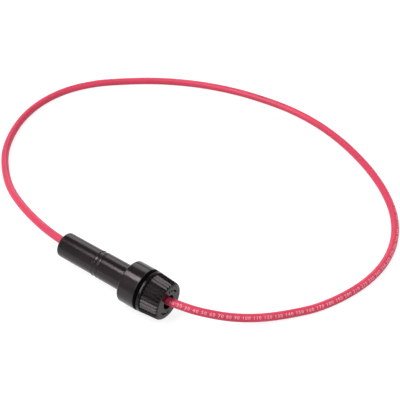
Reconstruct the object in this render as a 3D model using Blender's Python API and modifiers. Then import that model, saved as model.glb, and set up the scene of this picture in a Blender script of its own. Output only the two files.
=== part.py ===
"""Inline fuse holder for a 5 x 20 mm glass fuse, on a closed loop of insulated wire.

Frame: metres, +X from the tail end to the cap along the holder's axis, +Y towards the loop of
wire, +Z up. The origin lies under the middle of the holder, on the surface that it rests on.
"""

import math

import bmesh
import bpy
import numpy as np
from mathutils import Matrix

MM = 0.001

# Fits and gaps
SEAT_GAP = 0.25 * MM      # between pieces that rest on each other
RUNNING_GAP = 0.30 * MM   # round a piece that slides or turns in another
SNUG_GAP = 0.15 * MM      # round a piece that is pushed or crimped into another

# Glass fuse
FUSE_LENGTH = 20.0 * MM
FUSE_CAP_DIAMETER = 5.2 * MM
FUSE_CAP_LENGTH = 5.0 * MM
FUSE_CAP_WALL = 0.2 * MM
FUSE_CAP_END = 0.35 * MM
FUSE_CAP_CORNER = 0.3 * MM
FUSE_GLASS_WALL = 0.6 * MM
FUSE_ELEMENT_DIAMETER = 0.3 * MM
FUSE_SOLDER_DIAMETER = 1.6 * MM
FUSE_SOLDER_LENGTH = 0.9 * MM

# Wire
WIRE_DIAMETER = 2.85 * MM
CONDUCTOR_DIAMETER = 1.2 * MM
WIRE_FRONT_SHARE = 0.47
WIRE_FRONT_POINT_COUNT = 32
WIRE_REAR_POINT_COUNT = 36

# Tail sleeve
TAIL_LENGTH = 18.0 * MM
TAIL_END_DIAMETER = 9.1 * MM
TAIL_FRONT_DIAMETER = 9.05 * MM
TAIL_END_CORNER = 1.0 * MM
TAIL_RIM_CORNER = 0.25 * MM
TAIL_HOLE_DIAMETER = 4.2 * MM
TAIL_END_WALL = 2.5 * MM
TAIL_POCKET_DIAMETER = 5.0 * MM
BEAD_SPACING = 1.8 * MM
BEAD_SETBACK = 0.6 * MM
BEAD_WIDTH = 0.45 * MM
BEAD_HEIGHT = 0.14 * MM

# Barrel
TUBE_LENGTH = 11.0 * MM
TUBE_REAR_DIAMETER = 9.43 * MM
TUBE_FRONT_DIAMETER = 9.48 * MM
TUBE_EDGE = 0.4 * MM
SPIGOT_LENGTH = 3.1 * MM
SPIGOT_DIAMETER = 7.0 * MM
COLLAR_LENGTH = 6.8 * MM
COLLAR_DIAMETER = 15.0 * MM
COLLAR_WALL = 1.3 * MM
COLLAR_CORNER = 0.5 * MM
COLLAR_RIM_CORNER = 0.2 * MM
LEAD_IN = 0.25 * MM

# Sealing ring
RING_THICKNESS = 0.75 * MM
RING_OVERHANG = 0.025 * MM  # how far the ring stands out beyond the collar

# Cap
FLANGE_SETBACK = 0.075 * MM  # how far the flange lies inside the collar's outside
FLANGE_LENGTH = 1.15 * MM
FLANGE_CORNER = 0.2 * MM
GRIP_LENGTH = 6.85 * MM
GRIP_SETBACK = 0.175 * MM    # how far the ridges lie inside the flange's outside
GRIP_TAPER = 1.15 * MM       # how much smaller the grip's diameter is at its front
GRIP_CORNER = 0.9 * MM
NECK_WIDTH = 0.3 * MM
NECK_DEPTH = 0.45 * MM
RIDGE_COUNT = 36
RIDGE_CREST = 0.15 * MM      # the narrow land left on each ridge at the grip's front
RIDGE_SLOPE = 38             # degrees between a ridge's flank and the land on its crest
RECESS_DIAMETER = 5.1 * MM
RECESS_DEPTH = 2.0 * MM
END_WALL = 1.0 * MM
CAP_HOLE_DIAMETER = 4.4 * MM
SHANK_ENGAGEMENT = 3.5 * MM

# Contacts, spring and washer
CUP_WALL = 0.3 * MM
CONTACT_BASE = 0.75 * MM
CRIMP_DIAMETER = 2.8 * MM
CRIMP_LENGTH = 4.7 * MM
CRIMP_HOLE_FLOOR = 0.15 * MM
SPRING_INSET = 0.25 * MM     # how far the spring lies inside the washer's outside
SPRING_WIRE_DIAMETER = 0.5 * MM
SPRING_TURNS = 5.5
SPRING_END_TURNS = 0.9
WASHER_THICKNESS = 0.5 * MM
WASHER_BAND = 1.05 * MM      # from the washer's outside to its hole

# Fineness of the round forms
BODY_SIDES = 48
INNER_SIDES = 32
CORNER_STEPS = 3
ELEMENT_SIDES = 8
SPRING_POINTS_PER_TURN = 14

# Places along the holder's axis, from the tail end forwards
HOLDER_LENGTH = (
    TAIL_LENGTH + SEAT_GAP + TUBE_LENGTH + COLLAR_LENGTH
    + RING_THICKNESS + 2 * SEAT_GAP + FLANGE_LENGTH + GRIP_LENGTH
)
TAIL_END = -HOLDER_LENGTH / 2
TAIL_RIM = TAIL_END + TAIL_LENGTH
TUBE_REAR = TAIL_RIM + SEAT_GAP
COLLAR_REAR = TUBE_REAR + TUBE_LENGTH
COLLAR_FRONT = COLLAR_REAR + COLLAR_LENGTH
RING_REAR = COLLAR_FRONT + SEAT_GAP
FLANGE_REAR = RING_REAR + RING_THICKNESS + SEAT_GAP
FLANGE_FRONT = FLANGE_REAR + FLANGE_LENGTH
CAP_FACE = FLANGE_FRONT + GRIP_LENGTH

# The outside, from the collar forwards
RING_DIAMETER = COLLAR_DIAMETER + 2 * RING_OVERHANG
FLANGE_DIAMETER = COLLAR_DIAMETER - 2 * FLANGE_SETBACK
GRIP_REAR_DIAMETER = FLANGE_DIAMETER - 2 * GRIP_SETBACK
GRIP_FRONT_DIAMETER = GRIP_REAR_DIAMETER - GRIP_TAPER
AXIS_HEIGHT = max(FLANGE_DIAMETER, RING_DIAMETER, COLLAR_DIAMETER) / 2

# Inside the barrel and the tail sleeve
BORE_DIAMETER = FUSE_CAP_DIAMETER + 2 * SEAT_GAP
SPIGOT_REAR = TUBE_REAR - SPIGOT_LENGTH
SOCKET_FLOOR = COLLAR_REAR + COLLAR_WALL
SOCKET_DIAMETER = COLLAR_DIAMETER - 2 * COLLAR_WALL
CUP_INNER_DIAMETER = FUSE_CAP_DIAMETER + 2 * SNUG_GAP
CUP_DIAMETER = CUP_INNER_DIAMETER + 2 * CUP_WALL
REAR_CUP_RIM = SPIGOT_REAR - SEAT_GAP
REAR_CUP_DEPTH = 1.85 * MM
FUSE_REAR = REAR_CUP_RIM - REAR_CUP_DEPTH + SEAT_GAP
FUSE_FRONT = FUSE_REAR + FUSE_LENGTH
REAR_BASE_BACK = FUSE_REAR - SEAT_GAP - CONTACT_BASE
TAIL_SEAT = REAR_BASE_BACK - SEAT_GAP
REAR_CRIMP_END = REAR_BASE_BACK - CRIMP_LENGTH
REAR_JACKET_END = REAR_CRIMP_END - SEAT_GAP

# Inside the cap
SHANK_DIAMETER = SOCKET_DIAMETER - 2 * RUNNING_GAP
SHANK_REAR = COLLAR_FRONT - SHANK_ENGAGEMENT
CAVITY_DIAMETER = CUP_DIAMETER + 2 * RUNNING_GAP
CAP_SHOULDER = CAP_FACE - RECESS_DEPTH - END_WALL
FRONT_CUP_RIM = SOCKET_FLOOR + SEAT_GAP
FRONT_BASE_BACK = FUSE_FRONT + SEAT_GAP
FRONT_BASE_FRONT = FRONT_BASE_BACK + CONTACT_BASE
FRONT_CRIMP_END = FRONT_BASE_FRONT + CRIMP_LENGTH
FRONT_JACKET_END = FRONT_CRIMP_END + SEAT_GAP
WASHER_FRONT = CAP_SHOULDER - SEAT_GAP
WASHER_REAR = WASHER_FRONT - WASHER_THICKNESS
WASHER_DIAMETER = CAVITY_DIAMETER - 2 * RUNNING_GAP
WASHER_HOLE_DIAMETER = WASHER_DIAMETER - 2 * WASHER_BAND
SPRING_DIAMETER = WASHER_DIAMETER - 2 * SPRING_INSET

# The wire's route from the cap round to the tail: millimetres along X and Y, and how high its
# underside is above the surface. It comes straight out of the cap, sinks to the surface, lies
# round the loop and rises to the tail.
WIRE_ROUTE = [
    (22.6, 0.4, 6.1), (26.5, 1.05, 6.15), (31.0, 2.3, 5.8), (36.6, 5.2, 4.7), (41.2, 8.6, 3.3),
    (46.0, 13.0, 1.95), (50.8, 18.2, 0.95), (55.8, 24.4, 0.3), (60.9, 31.5, 0.0), (65.7, 41.5, 0.0),
    (68.8, 52.9, 0.0), (69.2, 64.1, 0.0), (66.6, 75.3, 0.0), (61.1, 85.5, 0.0), (53.3, 94.2, 0.0),
    (43.7, 101.7, 0.0), (32.9, 107.9, 0.0), (21.2, 112.9, 0.0), (8.9, 116.2, 0.0), (-3.6, 117.5, 0.0),
    (-16.1, 116.8, 0.0), (-28.4, 114.8, 0.0), (-40.3, 111.3, 0.0), (-51.6, 106.4, 0.0),
    (-62.3, 100.1, 0.0), (-72.1, 92.5, 0.0), (-81.0, 84.0, 0.0), (-87.4, 74.0, 0.0), (-90.5, 62.8, 0.0),
    (-90.2, 51.2, 0.0), (-86.8, 39.9, 0.0), (-80.7, 29.2, 0.15), (-72.1, 20.3, 0.8), (-62.1, 12.9, 2.1),
    (-51.6, 7.7, 3.7), (-41.3, 3.9, 5.2), (-32.3, 1.6, 6.05), (-25.5, 0.7, 6.25),
]


def clear_scene():
    """Removes what the file holds, so that the model stands alone."""
    for item in list(bpy.data.objects):
        bpy.data.objects.remove(item, do_unlink=True)


def new_collection(name):
    """A collection linked to the scene."""
    collection = bpy.data.collections.new(name)
    bpy.context.scene.collection.children.link(collection)
    return collection


def new_material(name, colour, roughness, metallic=0.0):
    """A plain surface with a colour, a roughness and a metallic value."""
    material = bpy.data.materials.new(name)
    material.use_nodes = True
    shader = material.node_tree.nodes["Principled BSDF"]
    shader.inputs["Base Color"].default_value = (*colour, 1.0)
    shader.inputs["Roughness"].default_value = roughness
    shader.inputs["Metallic"].default_value = metallic
    material.diffuse_color = (*colour, 1.0)
    return material


def add_object(name, data, collection, parent=None, material=None):
    """Links a new object, in its parent's frame where it has one."""
    item = bpy.data.objects.new(name, data)
    collection.objects.link(item)
    if parent is not None:
        item.parent = parent
    if material is not None:
        data.materials.append(material)
    return item


def arc(along, radius, size_along, size_out, start, end, steps=CORNER_STEPS):
    """Points of an arc in an outline. At 0 degrees it faces outwards, at 90 forwards, at -90 back."""
    points = []
    for step in range(steps + 1):
        angle = math.radians(start + (end - start) * step / steps)
        points.append((along + size_along * math.sin(angle), radius + size_out * math.cos(angle)))
    return points


def turned(name, outline, sides, collection, axis, material, closed=True):
    """Turns an outline of (place along the axis, radius) round the holder's axis.

    The outline runs down the outer side from front to back. A closed one returns along the inner
    side, and an open one starts and ends on the axis.
    """
    mesh = bpy.data.meshes.new(name)
    shape = bmesh.new()
    corners = [shape.verts.new((radius, 0.0, along)) for along, radius in outline]
    for first, second in zip(corners, corners[1:]):
        shape.edges.new((first, second))
    if closed:
        shape.edges.new((corners[-1], corners[0]))
    shape.to_mesh(mesh)
    shape.free()
    item = add_object(name, mesh, collection, axis, material)
    screw = item.modifiers.new("turn", "SCREW")
    screw.axis = "Z"
    screw.angle = math.tau
    screw.steps = sides
    screw.render_steps = sides
    screw.use_merge_vertices = True
    screw.merge_threshold = 0.000001
    screw.use_smooth_shade = True
    return item


def rod(name, rear, front, diameter, sides, collection, axis, material):
    """A plain round rod along the holder's axis."""
    mesh = bpy.data.meshes.new(name)
    shape = bmesh.new()
    place = Matrix.Translation((0.0, 0.0, (rear + front) / 2))
    bmesh.ops.create_cone(
        shape, cap_ends=True, segments=sides, radius1=diameter / 2, radius2=diameter / 2,
        depth=front - rear, matrix=place,
    )
    shape.to_mesh(mesh)
    shape.free()
    mesh.shade_smooth()
    mesh.set_sharp_from_angle(angle=math.radians(40))
    return add_object(name, mesh, collection, axis, material)


def tube(name, points, diameter, collection, parent, material, bevel_resolution=2):
    """A round wire along a row of points, with closed ends."""
    curve = bpy.data.curves.new(name, "CURVE")
    curve.dimensions = "3D"
    curve.bevel_depth = diameter / 2
    curve.bevel_resolution = bevel_resolution
    curve.use_fill_caps = True
    spline = curve.splines.new("POLY")
    spline.points.add(len(points) - 1)
    for point, place in zip(spline.points, points):
        point.co = (*place, 1.0)
    return add_object(name, curve, collection, parent, material)


def smooth_path(points, pieces_between=24):
    """A fine row of points on a smooth curve through the given ones (centripetal Catmull-Rom)."""
    given = np.array(points, dtype=float)
    ends = [2 * given[0] - given[1]], [2 * given[-1] - given[-2]]
    ring = np.concatenate([ends[0], given, ends[1]])
    fine = []
    for p0, p1, p2, p3 in zip(ring, ring[1:], ring[2:], ring[3:]):
        knots = [0.0]
        for first, second in ((p0, p1), (p1, p2), (p2, p3)):
            knots.append(knots[-1] + math.sqrt(np.linalg.norm(second - first)))
        t0, t1, t2, t3 = knots
        for t in np.linspace(t1, t2, pieces_between, endpoint=False):
            a1 = p0 * (t1 - t) / (t1 - t0) + p1 * (t - t0) / (t1 - t0)
            a2 = p1 * (t2 - t) / (t2 - t1) + p2 * (t - t1) / (t2 - t1)
            a3 = p2 * (t3 - t) / (t3 - t2) + p3 * (t - t2) / (t3 - t2)
            b1 = a1 * (t2 - t) / (t2 - t0) + a2 * (t - t0) / (t2 - t0)
            b2 = a2 * (t3 - t) / (t3 - t1) + a3 * (t - t1) / (t3 - t1)
            fine.append(b1 * (t2 - t) / (t2 - t1) + b2 * (t - t1) / (t2 - t1))
    fine.append(given[-1])
    return np.array(fine)


def stretch(path, start, end, count):
    """Evenly spaced points on a fine path, between two lengths along it."""
    steps = np.linalg.norm(np.diff(path, axis=0), axis=1)
    lengths = np.concatenate([[0.0], np.cumsum(steps)])
    wanted = np.linspace(start, end, count)
    return np.stack([np.interp(wanted, lengths, path[:, k]) for k in range(3)], axis=1)


def make_tail_sleeve(collection, axis, material):
    """The rear moulding, with the wire's hole, the rear contact's seat and two raised beads."""
    end_radius = TAIL_END_DIAMETER / 2
    front_radius = TAIL_FRONT_DIAMETER / 2
    taper = (front_radius - end_radius) / (TAIL_LENGTH - TAIL_END_CORNER)
    socket_radius = SPIGOT_DIAMETER / 2 + SNUG_GAP
    seat_radius = CUP_DIAMETER / 2 + SEAT_GAP
    bead_front = TAIL_RIM - BEAD_SETBACK
    outline = arc(
        TAIL_RIM - TAIL_RIM_CORNER, front_radius - TAIL_RIM_CORNER,
        TAIL_RIM_CORNER, TAIL_RIM_CORNER, 90, 0,
    )
    for place in (bead_front, bead_front - BEAD_SPACING):
        surface = front_radius - taper * (TAIL_RIM - place)
        outline += arc(place, surface, BEAD_WIDTH / 2, BEAD_HEIGHT, 90, -90, 4)
    outline += arc(
        TAIL_END + TAIL_END_CORNER, end_radius - TAIL_END_CORNER,
        TAIL_END_CORNER, TAIL_END_CORNER, 0, -90, 5,
    )
    outline += [
        (TAIL_END, TAIL_HOLE_DIAMETER / 2),
        (TAIL_END + TAIL_END_WALL, TAIL_HOLE_DIAMETER / 2),
        (TAIL_END + TAIL_END_WALL, TAIL_POCKET_DIAMETER / 2),
        (TAIL_SEAT, TAIL_POCKET_DIAMETER / 2),
        (TAIL_SEAT, seat_radius),
        (SPIGOT_REAR - SEAT_GAP, seat_radius),
        (SPIGOT_REAR - SEAT_GAP, socket_radius),
        (TAIL_RIM, socket_radius),
    ]
    return turned("tail_sleeve", outline, BODY_SIDES, collection, axis, material)


def make_barrel(collection, axis, material):
    """The front moulding: the tube that holds the fuse, and the collar that takes the cap's shank."""
    collar_radius = COLLAR_DIAMETER / 2
    spigot_radius = SPIGOT_DIAMETER / 2
    outline = arc(
        COLLAR_FRONT - COLLAR_RIM_CORNER, collar_radius - COLLAR_RIM_CORNER,
        COLLAR_RIM_CORNER, COLLAR_RIM_CORNER, 90, 0,
    )
    outline += arc(
        COLLAR_REAR + COLLAR_CORNER, collar_radius - COLLAR_CORNER,
        COLLAR_CORNER, COLLAR_CORNER, 0, -90, 4,
    )
    outline += [(COLLAR_REAR, TUBE_FRONT_DIAMETER / 2)]
    outline += arc(
        TUBE_REAR + TUBE_EDGE, TUBE_REAR_DIAMETER / 2 - TUBE_EDGE, TUBE_EDGE, TUBE_EDGE, 0, -90,
    )
    outline += [
        (TUBE_REAR, spigot_radius),
        (SPIGOT_REAR + LEAD_IN, spigot_radius),
        (SPIGOT_REAR, spigot_radius - LEAD_IN),
        (SPIGOT_REAR, BORE_DIAMETER / 2),
        (SOCKET_FLOOR, BORE_DIAMETER / 2),
        (SOCKET_FLOOR, SOCKET_DIAMETER / 2),
        (COLLAR_FRONT - LEAD_IN, SOCKET_DIAMETER / 2),
        (COLLAR_FRONT, SOCKET_DIAMETER / 2 + LEAD_IN),
    ]
    return turned("barrel", outline, BODY_SIDES, collection, axis, material)


def make_sealing_ring(collection, axis, material):
    """The rubber ring on the cap's shank, with rounded outer edges."""
    half = RING_THICKNESS / 2
    middle = RING_REAR + half
    outline = arc(middle, RING_DIAMETER / 2 - half, half, half, 90, -90, 8)
    inner_radius = SHANK_DIAMETER / 2 + SNUG_GAP
    outline += [(RING_REAR, inner_radius), (RING_REAR + RING_THICKNESS, inner_radius)]
    return turned("sealing_ring", outline, BODY_SIDES, collection, axis, material)


def make_grip_cutter(collection, axis):
    """A ring of four-sided bars, one for each V groove between the grip's ridges, along its taper."""
    rear_radius = GRIP_REAR_DIAMETER / 2
    front_radius = GRIP_FRONT_DIAMETER / 2
    flank = math.tan(math.radians(RIDGE_SLOPE))
    groove_width = math.tau * front_radius / RIDGE_COUNT - RIDGE_CREST
    groove_depth = groove_width / 2 * flank
    # The bars' widest edges lie just outside the ridges, where they still stay clear of each other
    reach = groove_depth + RIDGE_CREST / 3
    taper = math.atan2(rear_radius - front_radius, GRIP_LENGTH - GRIP_CORNER)
    rear = FLANGE_FRONT + NECK_WIDTH / 2
    front = CAP_FACE + reach
    middle = (rear + front) / 2
    crest = rear_radius - math.tan(taper) * (middle - FLANGE_FRONT)
    mesh = bpy.data.meshes.new("grip_groove_cutter")
    shape = bmesh.new()
    for ridge in range(RIDGE_COUNT):
        place = (
            Matrix.Rotation(math.tau * ridge / RIDGE_COUNT, 4, "Z")
            @ Matrix.Translation((crest - groove_depth + reach, 0.0, middle))
            @ Matrix.Rotation(-taper, 4, "Y")
            @ Matrix.Diagonal((1.0, 1.0 / flank, 1.0, 1.0))
        )
        bmesh.ops.create_cone(
            shape, cap_ends=True, segments=4, radius1=reach, radius2=reach,
            depth=front - rear, matrix=place,
        )
    shape.to_mesh(mesh)
    shape.free()
    cutter = add_object("grip_groove_cutter", mesh, collection, axis)
    cutter.hide_render = True
    cutter.display_type = "WIRE"
    return cutter


def make_cap(collection, cutters, axis, material):
    """The knurled cap: grip, flange, threaded shank, spring cavity and the wire's recess."""
    rear_radius = GRIP_REAR_DIAMETER / 2
    front_radius = GRIP_FRONT_DIAMETER / 2
    flange_radius = FLANGE_DIAMETER / 2
    outline = arc(
        CAP_FACE - GRIP_CORNER, front_radius - GRIP_CORNER, GRIP_CORNER, GRIP_CORNER, 90, 0, 4,
    )
    outline += [
        (FLANGE_FRONT + NECK_WIDTH, rear_radius),
        (FLANGE_FRONT + NECK_WIDTH, rear_radius - NECK_DEPTH),
        (FLANGE_FRONT, rear_radius - NECK_DEPTH),
        (FLANGE_FRONT, flange_radius - FLANGE_CORNER),
        (FLANGE_FRONT - FLANGE_CORNER, flange_radius),
        (FLANGE_REAR + FLANGE_CORNER, flange_radius),
        (FLANGE_REAR, flange_radius - FLANGE_CORNER),
        (FLANGE_REAR, SHANK_DIAMETER / 2),
        (SHANK_REAR + LEAD_IN, SHANK_DIAMETER / 2),
        (SHANK_REAR, SHANK_DIAMETER / 2 - LEAD_IN),
        (SHANK_REAR, CAVITY_DIAMETER / 2),
        (CAP_SHOULDER, CAVITY_DIAMETER / 2),
        (CAP_SHOULDER, CAP_HOLE_DIAMETER / 2),
        (CAP_SHOULDER + END_WALL, CAP_HOLE_DIAMETER / 2),
        (CAP_SHOULDER + END_WALL, RECESS_DIAMETER / 2),
        (CAP_FACE - LEAD_IN, RECESS_DIAMETER / 2),
        (CAP_FACE, RECESS_DIAMETER / 2 + LEAD_IN),
    ]
    cap = turned("cap", outline, 2 * RIDGE_COUNT, collection, axis, material)
    grooves = cap.modifiers.new("grip grooves", "BOOLEAN")
    grooves.operation = "DIFFERENCE"
    grooves.object = make_grip_cutter(cutters, axis)
    return cap


def contact_outline(base_fuse_side, cup_rim, base_wire_side, crimp_end):
    """The turned form of a contact: a cup for the fuse's cap, a base, and a crimp barrel.

    The crimp barrel may point forwards or back. The outline starts and ends on the axis and runs
    from the wire's side to the fuse's side.
    """
    toward_fuse = 1 if cup_rim > crimp_end else -1
    hole_floor = base_wire_side - toward_fuse * CRIMP_HOLE_FLOOR
    hole_radius = CONDUCTOR_DIAMETER / 2 + SNUG_GAP
    return [
        (hole_floor, 0.0),
        (hole_floor, hole_radius),
        (crimp_end, hole_radius),
        (crimp_end, CRIMP_DIAMETER / 2),
        (base_wire_side, CRIMP_DIAMETER / 2),
        (base_wire_side, CUP_DIAMETER / 2),
        (cup_rim, CUP_DIAMETER / 2),
        (cup_rim, CUP_INNER_DIAMETER / 2),
        (base_fuse_side, CUP_INNER_DIAMETER / 2),
        (base_fuse_side, 0.0),
    ]


def make_contacts(collection, axis, material):
    """The two brass contacts, each crimped on to one end of the wire."""
    front = contact_outline(FRONT_BASE_BACK, FRONT_CUP_RIM, FRONT_BASE_FRONT, FRONT_CRIMP_END)
    rear = contact_outline(FUSE_REAR - SEAT_GAP, REAR_CUP_RIM, REAR_BASE_BACK, REAR_CRIMP_END)
    turned("front_contact", front, INNER_SIDES, collection, axis, material, closed=False)
    turned("rear_contact", rear[::-1], INNER_SIDES, collection, axis, material, closed=False)


def make_conductors(collection, axis, material):
    """The stripped ends of the wire, inside the crimp barrels."""
    front_floor = FRONT_BASE_FRONT + CRIMP_HOLE_FLOOR
    rear_floor = REAR_BASE_BACK - CRIMP_HOLE_FLOOR
    rod(
        "front_conductor", front_floor + SEAT_GAP, FRONT_JACKET_END - SNUG_GAP,
        CONDUCTOR_DIAMETER, INNER_SIDES // 2, collection, axis, material,
    )
    rod(
        "rear_conductor", REAR_JACKET_END + SNUG_GAP, rear_floor - SEAT_GAP,
        CONDUCTOR_DIAMETER, INNER_SIDES // 2, collection, axis, material,
    )


def make_spring(collection, axis, material):
    """The coil spring between the front contact's base and the washer, with close end coils."""
    mean_radius = (SPRING_DIAMETER - SPRING_WIRE_DIAMETER) / 2
    start = FRONT_BASE_FRONT + SEAT_GAP + SPRING_WIRE_DIAMETER / 2
    end = WASHER_REAR - SEAT_GAP - SPRING_WIRE_DIAMETER / 2
    end_rise = 1.15 * SPRING_WIRE_DIAMETER * SPRING_END_TURNS
    turns_at = [0.0, SPRING_END_TURNS, SPRING_TURNS - SPRING_END_TURNS, SPRING_TURNS]
    places_at = [start, start + end_rise, end - end_rise, end]
    count = int(SPRING_TURNS * SPRING_POINTS_PER_TURN) + 1
    points = []
    for turn in np.linspace(0.0, SPRING_TURNS, count):
        angle = math.tau * turn
        along = float(np.interp(turn, turns_at, places_at))
        points.append((mean_radius * math.cos(angle), mean_radius * math.sin(angle), along))
    return tube("contact_spring", points, SPRING_WIRE_DIAMETER, collection, axis, material)


def make_washer(collection, axis, material):
    """The flat washer between the spring and the cap's shoulder."""
    outline = [
        (WASHER_FRONT, WASHER_DIAMETER / 2),
        (WASHER_REAR, WASHER_DIAMETER / 2),
        (WASHER_REAR, WASHER_HOLE_DIAMETER / 2),
        (WASHER_FRONT, WASHER_HOLE_DIAMETER / 2),
    ]
    return turned("spring_washer", outline, INNER_SIDES, collection, axis, material)


def make_fuse_cap(name, end, inward, collection, axis, material):
    """One metal cap of the fuse. Inward is 1 where the fuse runs forwards from it, else -1."""
    outer = FUSE_CAP_DIAMETER / 2
    rounded = [
        (end, 0.0),
        (end, outer - FUSE_CAP_CORNER),
        (end + inward * FUSE_CAP_CORNER, outer),
        (end + inward * FUSE_CAP_LENGTH, outer),
        (end + inward * FUSE_CAP_LENGTH, outer - FUSE_CAP_WALL),
        (end + inward * FUSE_CAP_END, outer - FUSE_CAP_WALL),
        (end + inward * FUSE_CAP_END, 0.0),
    ]
    outline = rounded if inward < 0 else rounded[::-1]
    return turned(name, outline, INNER_SIDES, collection, axis, material, closed=False)


def make_fuse(collection, axis, glass, plated, solder, element):
    """The glass fuse: tube, two caps, the wire that melts and the solder that holds it."""
    make_fuse_cap("fuse_front_cap", FUSE_FRONT, -1, collection, axis, plated)
    make_fuse_cap("fuse_rear_cap", FUSE_REAR, 1, collection, axis, plated)
    glass_radius = FUSE_CAP_DIAMETER / 2 - FUSE_CAP_WALL - SNUG_GAP
    rear_inside = FUSE_REAR + FUSE_CAP_END + SNUG_GAP
    front_inside = FUSE_FRONT - FUSE_CAP_END - SNUG_GAP
    outline = [
        (front_inside, glass_radius),
        (rear_inside, glass_radius),
        (rear_inside, glass_radius - FUSE_GLASS_WALL),
        (front_inside, glass_radius - FUSE_GLASS_WALL),
    ]
    turned("fuse_glass", outline, INNER_SIDES, collection, axis, glass)
    rod(
        "fuse_rear_solder", rear_inside, rear_inside + FUSE_SOLDER_LENGTH,
        FUSE_SOLDER_DIAMETER, INNER_SIDES // 2, collection, axis, solder,
    )
    rod(
        "fuse_front_solder", front_inside - FUSE_SOLDER_LENGTH, front_inside,
        FUSE_SOLDER_DIAMETER, INNER_SIDES // 2, collection, axis, solder,
    )
    rod(
        "fuse_element", rear_inside + FUSE_SOLDER_LENGTH + SNUG_GAP,
        front_inside - FUSE_SOLDER_LENGTH - SNUG_GAP,
        FUSE_ELEMENT_DIAMETER, ELEMENT_SIDES, collection, axis, element,
    )


def make_wire(collection, material):
    """The insulated wire, parted on the far side of its loop, where the front half may move off."""
    route = [(FRONT_JACKET_END, 0.0, AXIS_HEIGHT)]
    for along, across, lift in WIRE_ROUTE:
        route.append((along * MM, across * MM, lift * MM + WIRE_DIAMETER / 2))
    route.append((REAR_JACKET_END, 0.0, AXIS_HEIGHT))
    path = smooth_path(route)
    # Between its points the curve may dip by a hair, and the surface holds it up
    path[:, 2] = np.maximum(path[:, 2], WIRE_DIAMETER / 2)
    length = float(np.linalg.norm(np.diff(path, axis=0), axis=1).sum())
    parting = WIRE_FRONT_SHARE * length
    front = stretch(path, 0.0, parting - SNUG_GAP, WIRE_FRONT_POINT_COUNT)
    rear = stretch(path, parting + SNUG_GAP, length, WIRE_REAR_POINT_COUNT)
    tube("wire_front", front, WIRE_DIAMETER, collection, None, material)
    tube("wire_rear", rear, WIRE_DIAMETER, collection, None, material)


def main():
    """Builds the whole holder."""
    clear_scene()
    holder = new_collection("inline_fuse_holder")
    cutters = new_collection("cutters")
    black = new_material("black_moulding", (0.02, 0.015, 0.016), 0.28)
    cap_black = new_material("black_cap", (0.02, 0.015, 0.016), 0.3)
    rubber = new_material("black_rubber", (0.003, 0.003, 0.003), 0.6)
    jacket = new_material("red_jacket", (0.76, 0.045, 0.11), 0.38)
    brass = new_material("brass", (0.78, 0.57, 0.25), 0.3, 1.0)
    steel = new_material("spring_steel", (0.55, 0.56, 0.58), 0.3, 1.0)
    plated = new_material("nickel_plate", (0.7, 0.68, 0.63), 0.22, 1.0)
    copper = new_material("copper_strands", (0.85, 0.45, 0.3), 0.35, 1.0)
    solder = new_material("solder", (0.6, 0.6, 0.62), 0.4, 1.0)
    glass = new_material("fuse_glass", (0.85, 0.9, 0.9), 0.05)

    axis = add_object("holder_axis", None, holder)
    axis.location = (0.0, 0.0, AXIS_HEIGHT)
    axis.rotation_euler = (0.0, math.radians(90), 0.0)
    cap_axis = add_object("cap_axis", None, holder, axis)

    make_tail_sleeve(holder, axis, black)
    make_barrel(holder, axis, black)
    make_sealing_ring(holder, cap_axis, rubber)
    make_cap(holder, cutters, cap_axis, cap_black)
    make_contacts(holder, axis, brass)
    make_conductors(holder, axis, copper)
    make_spring(holder, axis, steel)
    make_washer(holder, cap_axis, steel)
    make_fuse(holder, axis, glass, plated, solder, steel)
    make_wire(holder, jacket)


main()
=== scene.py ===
"""Looks of an inline fuse holder: mouldings, contacts, fuse, spring, loop of wire, light and camera."""

import bisect
import math

import bmesh
import bpy
from bpy.props import FloatProperty, FloatVectorProperty, IntProperty, PointerProperty, StringProperty
from mathutils import Matrix, Vector


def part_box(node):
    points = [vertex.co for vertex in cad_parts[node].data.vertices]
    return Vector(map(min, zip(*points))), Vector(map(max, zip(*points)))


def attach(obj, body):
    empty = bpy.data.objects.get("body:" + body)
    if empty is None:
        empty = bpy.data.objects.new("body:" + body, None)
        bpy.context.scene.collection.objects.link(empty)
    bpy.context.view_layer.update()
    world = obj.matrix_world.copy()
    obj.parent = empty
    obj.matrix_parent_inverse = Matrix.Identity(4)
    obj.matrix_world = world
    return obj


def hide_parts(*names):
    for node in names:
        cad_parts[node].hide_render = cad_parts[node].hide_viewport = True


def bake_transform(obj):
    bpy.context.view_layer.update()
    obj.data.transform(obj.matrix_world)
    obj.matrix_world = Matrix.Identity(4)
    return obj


bl_info = {
    "name": "Inline Fuse Holder",
    "version": (1, 0, 0),
    "blender": (4, 5, 0),
    "location": "3D Viewport > Sidebar > Fuse Holder",
    "description": "Models the looks of an inline fuse holder on a closed loop of wire",
    "category": "Object",
}

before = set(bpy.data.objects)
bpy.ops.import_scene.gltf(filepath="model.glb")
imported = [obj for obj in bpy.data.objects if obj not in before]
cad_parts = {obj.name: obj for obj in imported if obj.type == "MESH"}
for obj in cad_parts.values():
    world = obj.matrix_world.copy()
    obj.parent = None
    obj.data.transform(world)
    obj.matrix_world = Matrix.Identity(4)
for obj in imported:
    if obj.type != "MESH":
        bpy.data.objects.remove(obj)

# Shapes are modelled in millimetres and become metres when they turn into a piece
MM = 0.001
TURNED_SIDES = 160
ROUNDING_STEPS = 6
SEAT_GAP = 0.25  # between pieces that rest on each other
SNUG_GAP = 0.15  # round a piece that is pushed into another
THREAD_ROOTING = 0.12  # how far a thread's foot is sunk into what carries it
WHITE = (1.0, 1.0, 1.0, 1.0)

# Corners of the solids that the cord and the spring name, in metres
CAP_LOW, CAP_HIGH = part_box("cap")
SPRING_LOW, SPRING_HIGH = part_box("contact_spring")
AXIS_HEIGHT = (CAP_LOW.z + CAP_HIGH.z) / 2

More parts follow.
